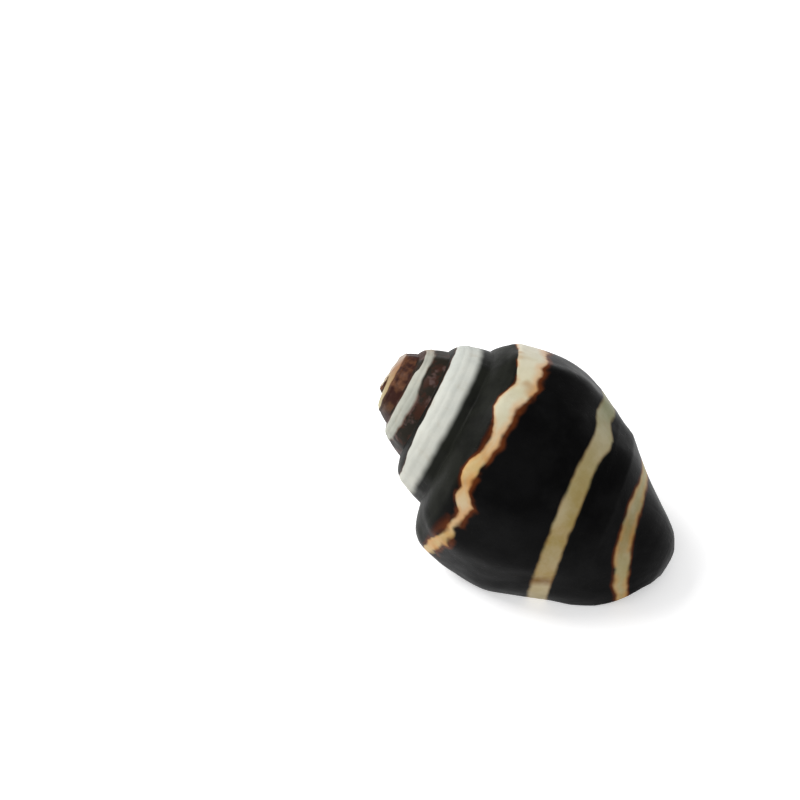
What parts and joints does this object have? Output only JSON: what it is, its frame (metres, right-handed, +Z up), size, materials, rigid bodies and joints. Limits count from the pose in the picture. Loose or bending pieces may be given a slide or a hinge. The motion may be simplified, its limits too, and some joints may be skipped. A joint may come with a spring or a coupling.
{
  "type": "striped sea snail shell",
  "caption": "Small spiral sea snail shell with a pointed spire, banded black and cream, lying mouth down.",
  "frame": {"origin": "centre of the base of the bounding box, on the surface that the shell rests on", "axes": "+Z up; +X along the length of the shell, from the tip of the spire towards the siphon end; the outer lip is on the -Y side"},
  "size_m": [0.0148, 0.0108, 0.0098],
  "materials": {
    "shell": "semi-gloss natural shell, near black with cream, yellow and grey-white bands that follow the coil and burnt-brown edges"
  },
  "bodies": {
    "root": {"shell": "shell"}
  },
  "joints": []
}
